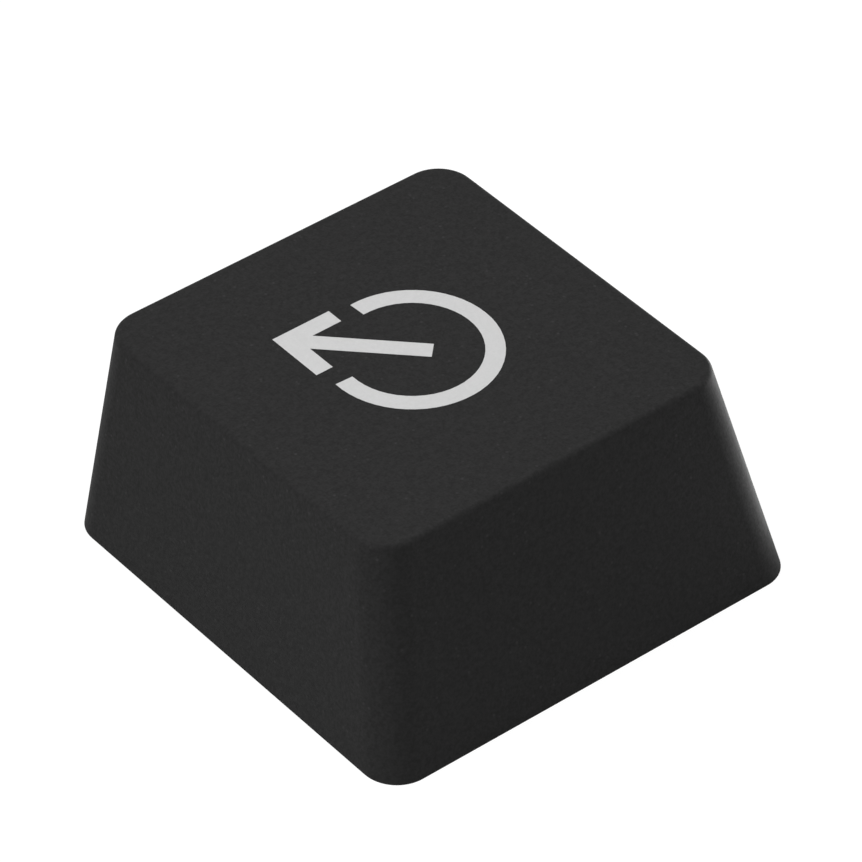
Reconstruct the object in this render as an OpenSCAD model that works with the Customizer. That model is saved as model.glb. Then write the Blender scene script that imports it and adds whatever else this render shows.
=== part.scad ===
// A one-unit keyboard keycap, moulded in two shots: a dark shell that carries its own
// stem boss, and a light legend that fills a pocket in the shell's roof.
// +Z is up, -Y faces the typist and the origin is the middle of the base rim.

/* [Outer form] */
// Width and depth of the base rim, which a 19.05 mm key pitch leaves for one key
base_size = 18.1; // [16:0.1:19]
// Height from the base rim to the flat top
cap_height = 8.14; // [7:0.02:12]
// Width of the top, measured where the side walls would meet it sharp
top_width = 15.22; // [12:0.02:16]
// Depth of the top, measured the same way
top_depth = 15.34; // [12:0.02:16]
// How far the top sits behind the middle of the base
top_shift = 1.02; // [0:0.01:1.2]
// Radius of the four upright corners at the base rim
base_corner_r = 1.38; // [0.8:0.01:2.5]
// Radius of the four upright corners where they reach the top
top_corner_r = 1.4; // [0.8:0.01:2.5]
// Radius of the rounded edge all round the top
edge_r = 0.22; // [0.1:0.01:0.6]

/* [Shell] */
// Wall thickness at the base rim
wall_at_rim = 1.3; // [0.9:0.05:1.8]
// Wall thickness where the walls meet the roof
wall_at_roof = 1.5; // [0.9:0.05:2]
// Thickness of the roof
roof_t = 1.5; // [1.2:0.05:2.2]
// Radius of the cavity's upright corners
cavity_corner_r = 0.8; // [0.6:0.05:1.4]
// Radius of the cavity's edge between its walls and the roof
cavity_edge_r = 0.5; // [0.2:0.05:0.55]

/* [Stem] */
// Diameter of the round boss that takes the switch stem
boss_d = 5.5; // [5.2:0.05:6]
// How far the boss stops short of the base rim
boss_recess = 0.9; // [0.2:0.05:2]
// Height of the coned foot that joins the boss to the roof
boss_foot_h = 0.5; // [0.2:0.05:1]
// How far that foot spreads past the boss
boss_foot_w = 0.35; // [0.1:0.05:0.8]
// Tip to tip length of both arms of the switch's cross-shaped stem
cross_length = 4.1; // [3.9:0.01:4.2]
// Thickness of the arm that runs left to right
cross_arm_x_t = 1.17; // [1:0.01:1.4]
// Thickness of the arm that runs front to back
cross_arm_y_t = 1.3; // [1:0.01:1.4]
// Clearance of the socket round the switch stem, on each side
cross_clearance = 0.02; // [0:0.005:0.1]
// Depth of the cross socket from the mouth of the boss
cross_depth = 4.4; // [3.6:0.1:5]
// Size of the bevel that leads the switch stem into the socket
lead_in = 0.2; // [0.05:0.05:0.35]

/* [Ribs] */
// Thickness of the four ribs between the boss and the walls
rib_t = 0.8; // [0.5:0.05:1.2]
// How far a rib hangs below the roof at the boss
rib_drop_at_boss = 1.6; // [0.6:0.05:2.5]
// How far a rib hangs below the roof at the wall
rib_drop_at_wall = 0.8; // [0.3:0.05:2]

/* [Legend] */
// Outer radius of the open ring
ring_r = 3.2; // [2.4:0.05:3.8]
// Width of every stroke
stroke = 0.7; // [0.5:0.05:1]
// Angle of the opening at the ring's upper left
ring_gap = 84; // [76:1:110]
// Distance from the ring's centre to the arrow's tip, along each of X and Y
arrow_reach = 3.4; // [2.8:0.05:4]
// Distance from the ring's centre to the arrow's tail, along each of X and Y
arrow_tail = 0.5; // [0:0.05:0.8]
// Length of each of the two barbs
barb_length = 2.45; // [1.6:0.05:2.8]
// Depth of the legend in the roof
legend_depth = 0.8; // [0.3:0.05:0.9]

/* [Hidden] */
shell_colour = "#262626";
legend_colour = "#cdcdcd";
// Segments in each upright corner, and steps in each rounded edge
corner_steps = 16;
edge_steps = 8;
// How far a cutting shape runs past the face that it opens
past = 1;
// The roof's underside
roof_z = cap_height - roof_t;
// The arrow points up and to the left
arrow_angle = 135;
// Segments in the round faces of the stem and the legend
$fn = 96;

// The four sides, in the order right, back, left, front. A side is given by how far it lies
// from the origin along its own outward direction.
base_sides = [for (i = [0:3]) base_size / 2];
top_sides = [
    top_width / 2,
    top_depth / 2 + top_shift,
    top_width / 2,
    top_depth / 2 - top_shift
];

// Where the outer sides lie at height z, as if the top edge were sharp
function outer_sides(z) = base_sides + (top_sides - base_sides) * z / cap_height;

// Where the cavity's sides lie at the rim and at the roof
cavity_rim = [for (s = outer_sides(0)) s - wall_at_rim];
cavity_roof = [for (s = outer_sides(roof_z)) s - wall_at_roof];
function cavity_sides(z) = cavity_rim + (cavity_roof - cavity_rim) * z / roof_z;

// Angle by which each side leans in from the upright
function leans(low, high, height) = [for (i = [0:3]) atan((low[i] - high[i]) / height)];

// What a rounded edge of radius r takes off a side that leans in by an angle, at the height u
// above the centre of the round. The round starts where it is tangent to the side.
function rounding(r, lean, u) =
    u <= r * sin(lean) ? 0 : (r - u * sin(lean)) / cos(lean) - sqrt(max(0, r * r - u * u));

// One closed ring of points at height z: a rectangle with the given sides and corner radius
function ring(sides, r, z) = [
    for (corner = [0:3])
        let (
            right = corner == 0 || corner == 3,
            back = corner < 2,
            x = right ? sides[0] - r : r - sides[2],
            y = back ? sides[1] - r : r - sides[3]
        )
        for (step = [0:corner_steps])
            let (a = 90 * (corner + step / corner_steps))
            [x + r * cos(a), y + r * sin(a), z]
];

// A closed skin through rings that all have the same number of points
module skin(rings) {
    count = len(rings[0]);
    last = len(rings) - 1;
    polyhedron(
        points = [for (one = rings) each one],
        faces = concat(
            [[for (i = [0:count - 1]) i]],
            [[for (i = [count - 1:-1:0]) last * count + i]],
            [
                for (k = [0:last - 1])
                    for (i = [0:count - 1])
                        let (j = (i + 1) % count)
                        [k * count + i, (k + 1) * count + i, (k + 1) * count + j, k * count + j]
            ]
        ),
        convexity = 4
    );
}

// Rings of a block that leans in from low to high, with a rounded top edge of radius r
function block_rings(low, high, height, r_low, r_high, r) =
    let (lean = leans(low, high, height))
    [
        for (step = [0:edge_steps])
            let (
                u = r * sin(90 * step / edge_steps),
                z = height - r + u,
                off = [for (a = lean) rounding(r, a, u)],
                sides = low + (high - low) * z / height - off,
                corner_r = r_low + (r_high - r_low) * z / height - max(off)
            )
            ring(sides, corner_r, z)
    ];

// The outside of the cap, solid
module outer_body() {
    skin(concat(
        [ring(base_sides, base_corner_r, 0)],
        block_rings(base_sides, top_sides, cap_height, base_corner_r, top_corner_r, edge_r)
    ));
}

// The room inside the walls, run out below the rim
module cavity() {
    skin(concat(
        [ring(cavity_sides(-past), cavity_corner_r, -past)],
        block_rings(cavity_rim, cavity_roof, roof_z, cavity_corner_r, cavity_corner_r, cavity_edge_r)
    ));
}

// The round boss, with its coned foot against the roof
module stem_boss() {
    translate([0, 0, boss_recess])
        cylinder(d = boss_d, h = roof_z + past / 2 - boss_recess);
    translate([0, 0, roof_z - boss_foot_h])
        cylinder(d1 = boss_d, d2 = boss_d + 2 * boss_foot_w, h = boss_foot_h);
}

// One rib from the middle of the boss out to a wall, deeper at the boss than at the wall.
// It is drawn past the roof and the wall, which swallow the surplus.
module rib(reach) {
    rotate([90, 0, 0])
        linear_extrude(height = rib_t, center = true)
            polygon([
                [0, roof_z - rib_drop_at_boss],
                [boss_d / 2, roof_z - rib_drop_at_boss],
                [reach, roof_z - rib_drop_at_wall],
                [reach, roof_z + past / 2],
                [0, roof_z + past / 2]
            ]);
}

// The four ribs, to the right, the back, the left and the front
module ribs() {
    for (i = [0:3])
        rotate([0, 0, 90 * i])
            rib(cavity_rim[i] + wall_at_rim / 2);
}

// One arm of the cross socket, cut along X, with a bevelled mouth
module socket_arm(arm_t) {
    half = arm_t / 2 + cross_clearance;
    length = cross_length + 2 * cross_clearance;
    mouth = half + lead_in;
    rotate([90, 0, 90])
        linear_extrude(height = length, center = true)
            polygon([
                [-mouth, -past],
                [mouth, -past],
                [mouth, 0],
                [half, lead_in],
                [half, cross_depth],
                [-half, cross_depth],
                [-half, lead_in],
                [-mouth, 0]
            ]);
}

// The cross socket in the end of the boss
module cross_socket() {
    translate([0, 0, boss_recess]) {
        socket_arm(cross_arm_x_t);
        rotate([0, 0, 90])
            socket_arm(cross_arm_y_t);
    }
}

// The opening in the ring, a wedge about the arrow's direction that reaches past the ring
module ring_wedge() {
    far = 2 * ring_r;
    polygon([
        [0, 0],
        for (side = [-1, 0, 1])
            let (a = arrow_angle + side * ring_gap / 2)
            [far * cos(a), far * sin(a)]
    ]);
}

// The legend's outline: an open ring that an arrow leaves at the upper left
module legend_outline() {
    difference() {
        circle(r = ring_r);
        circle(r = ring_r - stroke);
        ring_wedge();
    }
    shaft_length = sqrt(2) * (arrow_reach - stroke / 2 + arrow_tail);
    translate([arrow_tail, -arrow_tail])
        rotate(arrow_angle)
            translate([0, -stroke / 2])
                square([shaft_length, stroke]);
    translate([-arrow_reach, arrow_reach - stroke])
        square([barb_length, stroke]);
    translate([-arrow_reach, arrow_reach - barb_length])
        square([stroke, barb_length]);
}

// The legend as a solid that stands in the roof, centred on the top and run up past it
module legend_block(above) {
    translate([0, top_shift, cap_height - legend_depth])
        linear_extrude(height = legend_depth + above)
            legend_outline();
}

// The dark shell: walls, roof, stem boss and ribs in one moulding
module cap_shell() {
    color(shell_colour)
        difference() {
            outer_body();
            difference() {
                cavity();
                stem_boss();
                ribs();
            }
            cross_socket();
            legend_block(past);
        }
}

// The light second shot, flush with the top
module legend_inlay() {
    color(legend_colour)
        legend_block(0);
}

cap_shell();
legend_inlay();
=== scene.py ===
# %% [markdown]
# # A two-shot keycap, dressed and lit
#
# The solids of this keycap are made elsewhere and come in as a fixed frame: one dark shell
# with its stem, and one light legend that lies flush in the shell's top. This notebook gives
# them what a solid can't hold: soft shading over the rounded corners, the fine texture that a
# mould leaves in the plastic, and a small studio with a white table.
#
# Everything is in metres. The cap is only 18 mm wide, so most values are written in
# millimetres and multiplied by `MM`.

# %% Load the frame
import math
import bpy
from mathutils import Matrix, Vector


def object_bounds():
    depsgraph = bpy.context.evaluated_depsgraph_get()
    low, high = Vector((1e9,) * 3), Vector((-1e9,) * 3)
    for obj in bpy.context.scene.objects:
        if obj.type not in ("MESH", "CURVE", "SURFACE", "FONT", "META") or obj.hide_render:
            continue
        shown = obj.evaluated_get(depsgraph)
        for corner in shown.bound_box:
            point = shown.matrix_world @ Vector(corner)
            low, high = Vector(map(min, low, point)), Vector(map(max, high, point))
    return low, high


MM = 0.001
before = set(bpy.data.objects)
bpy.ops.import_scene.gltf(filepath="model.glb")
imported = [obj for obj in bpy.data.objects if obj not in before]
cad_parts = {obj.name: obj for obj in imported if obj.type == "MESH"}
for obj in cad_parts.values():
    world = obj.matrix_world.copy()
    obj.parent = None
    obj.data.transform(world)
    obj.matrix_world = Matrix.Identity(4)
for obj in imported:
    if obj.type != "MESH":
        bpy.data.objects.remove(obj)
cad_low, cad_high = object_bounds()
cap_size = cad_high - cad_low
print("cap size in mm:", [round(side / MM, 2) for side in cap_size])

# %% [markdown]
# ## Shapes that stay as they are
#
# Both pieces keep the frame's own meshes, because their shape is right: the light legend
# fills a pocket in the shell, so the two meet edge to edge with no step. What they lack is
# shading. The rounded corners are made of narrow flat strips, and each strip would show as a
# stripe. The meshes may not be edited, so a chain of modifiers does the work: weld the
# strips together, smooth every edge that bends only a little, keep the sharp ones sharp, and
# let the large flat faces decide the direction of the shading where they meet a curve.

# %% Soft shading as a geometry node group
WELD_DISTANCE = 0.0005 * MM
SHARPEST_SMOOTH_EDGE = math.radians(28)
FLAT_FACE_LEAD = 100  # the most that the modifier takes, so that the larger face decides alone


def new_socket(tree, name, kind, in_out, default=None):
    socket = tree.interface.new_socket(name=name, in_out=in_out, socket_type=kind)
    if default is not None:
        socket.default_value = default


def make_soft_shading():
    tree = bpy.data.node_groups.new("soft_shading", "GeometryNodeTree")
    new_socket(tree, "Geometry", "NodeSocketGeometry", "INPUT")
    new_socket(tree, "Geometry", "NodeSocketGeometry", "OUTPUT")
    group_in = tree.nodes.new("NodeGroupInput")
    group_out = tree.nodes.new("NodeGroupOutput")
    weld = tree.nodes.new("GeometryNodeMergeByDistance")
    weld.inputs["Distance"].default_value = WELD_DISTANCE
    angle = tree.nodes.new("GeometryNodeInputMeshEdgeAngle")
    bends_little = tree.nodes.new("FunctionNodeCompare")
    bends_little.data_type = "FLOAT"
    bends_little.operation = "LESS_THAN"
    bends_little.inputs["B"].default_value = SHARPEST_SMOOTH_EDGE
    plain_normals = tree.nodes.new("GeometryNodeSetMeshNormal")
    plain_normals.mode = "SHARPNESS"
    smooth_edges = tree.nodes.new("GeometryNodeSetShadeSmooth")
    smooth_edges.domain = "EDGE"
    smooth_faces = tree.nodes.new("GeometryNodeSetShadeSmooth")
    smooth_faces.domain = "FACE"
    link = tree.links.new
    link(group_in.outputs["Geometry"], weld.inputs["Geometry"])
    link(weld.outputs["Geometry"], plain_normals.inputs["Mesh"])
    link(plain_normals.outputs["Mesh"], smooth_faces.inputs["Geometry"])
    link(smooth_faces.outputs["Geometry"], smooth_edges.inputs["Geometry"])
    link(angle.outputs["Unsigned Angle"], bends_little.inputs["A"])
    link(bends_little.outputs["Result"], smooth_edges.inputs["Shade Smooth"])
    link(smooth_edges.outputs["Geometry"], group_out.inputs["Geometry"])
    return tree


soft_shading = make_soft_shading()
for name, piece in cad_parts.items():
    piece.modifiers.new("soft shading", "NODES").node_group = soft_shading
    flat_faces_lead = piece.modifiers.new("flat faces lead", "WEIGHTED_NORMAL")
    flat_faces_lead.keep_sharp = True
    flat_faces_lead.weight = FLAT_FACE_LEAD
    print(name, "keeps", len(piece.data.polygons), "faces and gets soft shading")

# %% [markdown]
# ## Small helpers for shaders
#
# Every material here is a short chain of nodes. A helper's input is either a plain value or
# another node's output, so the chains below read like sums.

# %% Helpers
def empty_tree(owner):
    """The node tree of a material or of the world, with nothing in it yet."""
    owner.use_nodes = True
    owner.node_tree.nodes.clear()
    return owner.node_tree


def grey(level):
    return (level, level, level, 1)


def feed(tree, socket, source):
    """Set a socket to a number or a colour, or link another node's output to it."""
    if isinstance(source, (int, float, tuple)):
        socket.default_value = source
    else:
        tree.links.new(source, socket)


def combine(tree, operation, first, second):
    node = tree.nodes.new("ShaderNodeMath")
    node.operation = operation
    feed(tree, node.inputs[0], first)
    feed(tree, node.inputs[1], second)
    return node.outputs[0]


def map_range(tree, value, low, high, to_low, to_high):
    node = tree.nodes.new("ShaderNodeMapRange")
    feed(tree, node.inputs["Value"], value)
    feed(tree, node.inputs["From Min"], low)
    feed(tree, node.inputs["From Max"], high)
    feed(tree, node.inputs["To Min"], to_low)
    feed(tree, node.inputs["To Max"], to_high)
    return node.outputs["Result"]


def mix_colours(tree, factor, first, second):
    node = tree.nodes.new("ShaderNodeMix")
    node.data_type = "RGBA"
    feed(tree, node.inputs["Factor"], factor)
    feed(tree, node.inputs["A"], first)
    feed(tree, node.inputs["B"], second)
    return node.outputs["Result"]


def mix_shaders(tree, factor, first, second):
    node = tree.nodes.new("ShaderNodeMixShader")
    tree.links.new(factor, node.inputs["Fac"])
    tree.links.new(first, node.inputs[1])
    tree.links.new(second, node.inputs[2])
    return node.outputs[0]


print("helpers ready")

# %% [markdown]
# ## The texture a mould leaves
#
# Keycaps come out of a spark-eroded mould, which covers them with shallow pits and bumps about
# a sixth of a millimetre across. They show as a fine, even grain with a few lighter flecks.
# Both plastics take the same texture from the same mould, so it is one node group with its own
# inputs. It works on the object's own coordinates, so it keeps its true scale whatever the
# size of the picture. It puts out a height for a Bump node, and masks for tone and roughness.

# %% The mould texture as a shader node group
TEXTURE_SOCKETS = [
    ("Grain Per Mm", "NodeSocketFloat", "INPUT", 6.2),
    ("Fleck Per Mm", "NodeSocketFloat", "INPUT", 3.4),
    ("Fleck Radius", "NodeSocketFloat", "INPUT", 0.24),
    ("Fleck Rarity", "NodeSocketFloat", "INPUT", 0.5),
    ("Height", "NodeSocketFloat", "OUTPUT", None),
    ("Grain", "NodeSocketFloat", "OUTPUT", None),
    ("Fleck", "NodeSocketFloat", "OUTPUT", None),
]
GRAIN_DETAIL = 1.0  # one finer layer over the grain
GRAIN_ROUGHNESS = 1.0  # and that layer as strong as the first
GRAIN_LOW, GRAIN_HIGH = 0.3, 0.7  # the part of the noise that the mask spreads from 0 to 1
FLECK_CORE = 0.05  # the part of a cell in which a fleck is at full strength


def make_mould_texture():
    tree = bpy.data.node_groups.new("mould_texture", "ShaderNodeTree")
    for name, kind, in_out, default in TEXTURE_SOCKETS:
        new_socket(tree, name, kind, in_out, default)
    group_in = tree.nodes.new("NodeGroupInput").outputs
    group_out = tree.nodes.new("NodeGroupOutput").inputs
    link = tree.links.new
    in_mm = tree.nodes.new("ShaderNodeVectorMath")
    in_mm.operation = "SCALE"
    in_mm.inputs["Scale"].default_value = 1 / MM
    link(tree.nodes.new("ShaderNodeTexCoord").outputs["Object"], in_mm.inputs[0])
    place = in_mm.outputs["Vector"]

    noise = tree.nodes.new("ShaderNodeTexNoise")
    noise.inputs["Detail"].default_value = GRAIN_DETAIL
    noise.inputs["Roughness"].default_value = GRAIN_ROUGHNESS
    link(place, noise.inputs["Vector"])
    link(group_in["Grain Per Mm"], noise.inputs["Scale"])
    grain = map_range(tree, noise.outputs["Fac"], GRAIN_LOW, GRAIN_HIGH, 0.0, 1.0)

    cells = tree.nodes.new("ShaderNodeTexVoronoi")
    link(place, cells.inputs["Vector"])
    link(group_in["Fleck Per Mm"], cells.inputs["Scale"])
    distance = cells.outputs["Distance"]
    spot = map_range(tree, distance, FLECK_CORE, group_in["Fleck Radius"], 1.0, 0.0)
    draw = tree.nodes.new("ShaderNodeSeparateColor")
    link(cells.outputs["Color"], draw.inputs["Color"])
    strength = map_range(tree, draw.outputs["Red"], group_in["Fleck Rarity"], 1.0, 0.0, 1.0)

    link(noise.outputs["Fac"], group_out["Height"])
    link(grain, group_out["Grain"])
    link(combine(tree, "MULTIPLY", spot, strength), group_out["Fleck"])
    return tree


mould_texture = make_mould_texture()
print("mould texture:", [item.name for item in mould_texture.interface.items_tree])

# %% [markdown]
# ## Two plastics from one recipe
#
# Both plastics are dense and opaque with a matte skin, so they share one recipe with their own
# numbers. The grain is a slight change of tone from pit to pit, a shallow bump, and a change of
# roughness, because the tips of the texture are rubbed a little smoother than the pits. Pits
# trap most of the gloss, so the specular level is far below that of polished plastic. The
# shell is a carbon-black plastic that reflects about two hundredths of the light. The legend is
# a light grey plastic, and the grain hardly shows in it, because light scatters inside it.

# %% The plastic recipe
ROUGHNESS_SPREAD = 0.03
PLASTIC_IOR = 1.5


def moulded_plastic(name, dark, light, fleck, roughness, grain_depth, specular):
    material = bpy.data.materials.new(name)
    tree = empty_tree(material)
    link = tree.links.new
    out = tree.nodes.new("ShaderNodeOutputMaterial")
    shader = tree.nodes.new("ShaderNodeBsdfPrincipled")
    shader.inputs["IOR"].default_value = PLASTIC_IOR
    shader.inputs["Specular IOR Level"].default_value = specular
    link(shader.outputs["BSDF"], out.inputs["Surface"])
    texture = tree.nodes.new("ShaderNodeGroup")
    texture.node_tree = mould_texture
    grain = texture.outputs["Grain"]
    tone = mix_colours(tree, grain, grey(dark), grey(light))
    flecked = mix_colours(tree, texture.outputs["Fleck"], tone, grey(fleck))
    link(flecked, shader.inputs["Base Color"])
    in_pits, on_tips = roughness + ROUGHNESS_SPREAD, roughness - ROUGHNESS_SPREAD
    link(map_range(tree, grain, 0.0, 1.0, in_pits, on_tips), shader.inputs["Roughness"])
    bump = tree.nodes.new("ShaderNodeBump")
    bump.inputs["Strength"].default_value = 1.0
    bump.inputs["Distance"].default_value = grain_depth
    link(texture.outputs["Height"], bump.inputs["Height"])
    link(bump.outputs["Normal"], shader.inputs["Normal"])
    return material


shell_plastic = moulded_plastic(
    "shell_plastic", dark=0.0154, light=0.0212, fleck=0.033,
    roughness=0.68, grain_depth=0.008 * MM, specular=0.06
)
legend_plastic = moulded_plastic(
    "legend_plastic", dark=0.552, light=0.578, fleck=0.598,
    roughness=0.6, grain_depth=0.004 * MM, specular=0.06
)
FINISHES = {"cap_shell": shell_plastic, "legend_inlay": legend_plastic}
for name, material in FINISHES.items():
    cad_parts[name].material_slots[0].material = material
    print(name, "wears", material.name)

# %% [markdown]
# ## The camera
#
# A small thing is photographed from some way off with a long lens, which keeps its sides
# nearly parallel. The camera stands to the left of the typist's side, looks down at the cap
# by forty degrees, and is level. It aims at a point on the cap's upright axis.

# %% Place the camera
CAMERA_AZIMUTH = math.radians(-38.98)
CAMERA_ELEVATION = math.radians(40.35)
CAMERA_DISTANCE = 192.6 * MM
AIM_HEIGHT = 5.14 * MM
LENS = 234.2
SENSOR_WIDTH = 36
NEAREST_SEEN = 10 * MM
FARTHEST_SEEN = 5000 * MM


def outward(azimuth, elevation):
    """The direction out to something round the cap; azimuth 0 is the typist's side."""
    flat = math.cos(elevation)
    return Vector((math.sin(azimuth) * flat, -math.cos(azimuth) * flat, math.sin(elevation)))


def add_to_scene(name, data, place, facing):
    """Put in a camera or a lamp, which both look along their own -Z."""
    thing = bpy.data.objects.new(name, data)
    bpy.context.scene.collection.objects.link(thing)
    thing.location = place
    thing.rotation_mode = "QUATERNION"
    thing.rotation_quaternion = facing.to_track_quat("-Z", "Y")
    return thing


aim = Vector((0, 0, AIM_HEIGHT))
camera_data = bpy.data.cameras.new("camera")
camera_data.lens = LENS
camera_data.sensor_width = SENSOR_WIDTH
camera_data.clip_start = NEAREST_SEEN
camera_data.clip_end = FARTHEST_SEEN
away = outward(CAMERA_AZIMUTH, CAMERA_ELEVATION)
camera = add_to_scene("camera", camera_data, aim + CAMERA_DISTANCE * away, -away)
bpy.context.scene.camera = camera
print("camera at", [round(x / MM, 1) for x in camera.location], "mm")

# %% [markdown]
# ## The white table
#
# The cap stands on a white table that fills the view. A white surface under plain light
# renders as light grey, so the table adds a share of pure white for the rays that look at it,
# straight or in a reflection. The rest of its tone is its real, lit colour, so it still takes
# the cap's soft shadow. The room around it does the same. So that the hollow side can be looked
# at as well, the table is clear from below, and it has a window that is just hidden under the
# cap's rim: lamps below light the hollow through it, and the outer walls not at all.

# %% The table and the room
TABLE_SCALE = 40
TABLE_GAP = 0.01 * MM
WINDOW_INSET = 0.01 * MM
WINDOW_CORNER = 1.38 * MM
CORNER_STEPS = 8
TABLE_COLOUR = 0.85
WHITE_SHARE = 0.85
WHITE_STRENGTH = 1.08
ROOM_LEVEL = 0.15


def looked_at(tree):
    """One for the rays that look at a background straight, or in a gloss or through glass."""
    path = tree.nodes.new("ShaderNodeLightPath").outputs
    straight_or_gloss = combine(tree, "MAXIMUM", path["Is Camera Ray"], path["Is Glossy Ray"])
    return combine(tree, "MAXIMUM", straight_or_gloss, path["Is Transmission Ray"])


def make_table_material():
    material = bpy.data.materials.new("white_table")
    tree = empty_tree(material)
    out = tree.nodes.new("ShaderNodeOutputMaterial")
    lit = tree.nodes.new("ShaderNodeBsdfDiffuse")
    lit.inputs["Color"].default_value = grey(TABLE_COLOUR)
    white = tree.nodes.new("ShaderNodeEmission")
    white.inputs["Strength"].default_value = WHITE_STRENGTH
    share = combine(tree, "MULTIPLY", looked_at(tree), WHITE_SHARE)
    from_above = mix_shaders(tree, share, lit.outputs[0], white.outputs[0])
    below = tree.nodes.new("ShaderNodeNewGeometry").outputs["Backfacing"]
    clear = tree.nodes.new("ShaderNodeBsdfTransparent").outputs[0]
    tree.links.new(mix_shaders(tree, below, from_above, clear), out.inputs["Surface"])
    return material


def make_room():
    world = bpy.data.worlds.new("room")
    bpy.context.scene.world = world
    tree = empty_tree(world)
    out = tree.nodes.new("ShaderNodeOutputWorld")
    lit = tree.nodes.new("ShaderNodeBackground")
    lit.inputs["Strength"].default_value = ROOM_LEVEL
    white = tree.nodes.new("ShaderNodeBackground")
    for background in (lit, white):
        background.inputs["Color"].default_value = grey(1)
    seen = mix_shaders(tree, looked_at(tree), lit.outputs[0], white.outputs[0])
    tree.links.new(seen, out.inputs["Surface"])


def rounded_square(half, radius, steps, z):
    middle = half - radius
    centres = [(middle, middle), (-middle, middle), (-middle, -middle), (middle, -middle)]
    points = []
    for corner, (x, y) in enumerate(centres):
        for step in range(steps + 1):
            angle = math.radians(90 * (corner + step / steps))
            points.append((x + radius * math.cos(angle), y + radius * math.sin(angle), z))
    return points


def sheet_with_window(name, window, scale):
    count = len(window)
    outside = [(x * scale, y * scale, z) for x, y, z in window]
    faces = [(i, i + count, (i + 1) % count + count, (i + 1) % count) for i in range(count)]
    mesh = bpy.data.meshes.new(name)
    mesh.from_pydata(window + outside, [], faces)
    sheet = bpy.data.objects.new(name, mesh)
    bpy.context.scene.collection.objects.link(sheet)
    return sheet


window_half = cap_size.x / 2 - WINDOW_INSET
window = rounded_square(window_half, WINDOW_CORNER, CORNER_STEPS, cad_low.z - TABLE_GAP)
table = sheet_with_window("table", window, TABLE_SCALE)
table.data.materials.append(make_table_material())
make_room()
table_width = round(2 * TABLE_SCALE * window_half / MM)
print("table", table_width, "mm wide, faces up:", table.data.polygons[0].normal.z > 0)

# %% [markdown]
# ## The lamps
#
# Every lamp is a flat softbox that faces the cap. Its level is how bright it makes a white card
# that faces it, where 1 is full white, and its power follows from the level and the distance.
# Three high lamps give the top its tone. A small near one at the left lights the left wall.
# A low one at the right stands so far round that it only grazes the front, and misses the
# upright corner nearest to the camera, which stays the darkest place on the cap. Two more stand
# below the table, and light the hollow through its window.

# %% Softboxes
# Name, azimuth and elevation in degrees, distance, width and height in mm, level
LAMPS = [
    ("top", 0, 88, 320, 160, 160, 0.23),
    ("back_left", -150, 65, 320, 160, 160, 0.57),
    ("back_right", 140, 62, 320, 160, 160, 0.14),
    ("left_near", -70, 15, 60, 30, 30, 0.26),
    ("right_low", 82, 10, 320, 160, 90, 0.44),
    ("below_front", 30, -35, 320, 160, 160, 1.00),
    ("below_back", -150, -35, 320, 160, 160, 1.00),
]


def area_lamp(name, wide_mm, tall_mm, power, place, facing):
    data = bpy.data.lights.new(name, "AREA")
    data.shape = "RECTANGLE"
    data.size = wide_mm * MM
    data.size_y = tall_mm * MM
    data.energy = power
    add_to_scene(name, data, place, facing).visible_camera = False
    print(name, "power", round(power, 4), "W")


def softbox(name, azimuth, elevation, away_mm, wide_mm, tall_mm, level):
    distance = away_mm * MM
    away = outward(math.radians(azimuth), math.radians(elevation))
    power = level * (math.pi * distance) ** 2
    area_lamp(name, wide_mm, tall_mm, power, aim + distance * away, -away)


for row in LAMPS:
    softbox(*row)

# %% [markdown]
# Two glowing panels lie flat on the table to the right, hidden from the camera. They graze the
# right wall and the upright corner beside it, which draws the soft bright line along the cap's
# right edge and leaves the front dark. The near one lights the corner's foot as much as its
# top, and the far one mostly its upper part.

# %% Panels that face up
# Name, range in x, range in y and height in mm, glow
PANELS = [
    ("near_panel", (11, 17), (-12, 12), 0.2, 5.7),
    ("far_panel", (30, 57), (-9, 8), 0.2, 39.5),
]
UP = Vector((0, 0, 1))


def glow_panel(name, x_range, y_range, height, glow):
    wide, deep = x_range[1] - x_range[0], y_range[1] - y_range[0]
    power = glow * math.pi * wide * deep * MM * MM
    place = Vector((sum(x_range) / 2, sum(y_range) / 2, height)) * MM
    area_lamp(name, wide, deep, power, place, UP)


for row in PANELS:
    glow_panel(*row)

# %% [markdown]
# ## Colours as written
#
# The Standard view shows each colour as it is written, with no film curve over it, so the
# black plastic stays as dark as its number says.

# %% Finish
bpy.context.scene.view_settings.view_transform = "Standard"
